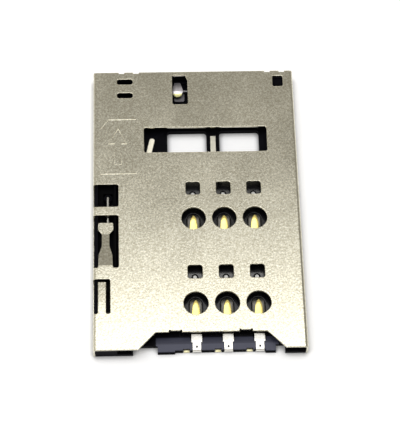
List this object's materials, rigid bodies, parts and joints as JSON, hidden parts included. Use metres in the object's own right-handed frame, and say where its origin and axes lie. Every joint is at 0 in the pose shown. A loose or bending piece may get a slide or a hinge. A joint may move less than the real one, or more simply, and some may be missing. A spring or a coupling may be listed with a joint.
{
  "type": "sim card socket",
  "caption": "Low push-push socket for a mini SIM card: a pierced sheet-metal shield over a moulded base with spring contacts, a detect switch and a heart-cam slider that locks and ejects the card.",
  "frame": {"origin": "middle of the underside's bounding box, on the circuit board's surface", "axes": "+Y is the way the card goes in, along the socket's length; +Z away from the board; +X to the right seen from the card's mouth, with the eject mechanism on the -X side"},
  "size_m": [0.0172, 0.0256, 0.0015],
  "materials": {
    "shield": "satin nickel-plated",
    "housing": "moulded",
    "contact": "gold-flashed at the tips, tinned at the tails",
    "slider": "moulded",
    "spring_wire": "drawn",
    "switch": "nickel-plated"
  },
  "bodies": {
    "socket": {"shield": "shield", "housing": "housing", "contact_front_left": "contact", "contact_front_middle": "contact", "contact_front_right": "contact", "contact_rear_left": "contact", "contact_rear_middle": "contact", "contact_rear_right": "contact", "eject_spring": "spring_wire", "switch_blade": "switch", "switch_anvil": "switch"},
    "slider": {"slider": "slider"},
    "cam_pin": {"cam_pin": "spring_wire"}
  },
  "joints": [
    {"name": "slider_slide", "type": "slide", "parent": "socket", "child": "slider", "axis": [0, 1, 0], "range_m": [0, 0.004], "stiffness_N_per_m": 100, "springref_m": -0.004, "deforming": ["eject_spring"]},
    {"name": "pin_swing", "type": "hinge", "parent": "socket", "child": "cam_pin", "pos_m": [-0.00738, 0.00102, 0.0005], "axis": [0, 0, 1], "range_deg": [-4.3, 0]}
  ],
  "couplings": [
    {"joint": "pin_swing", "follows": "slider_slide", "rad_per_m": -18.07}
  ]
}
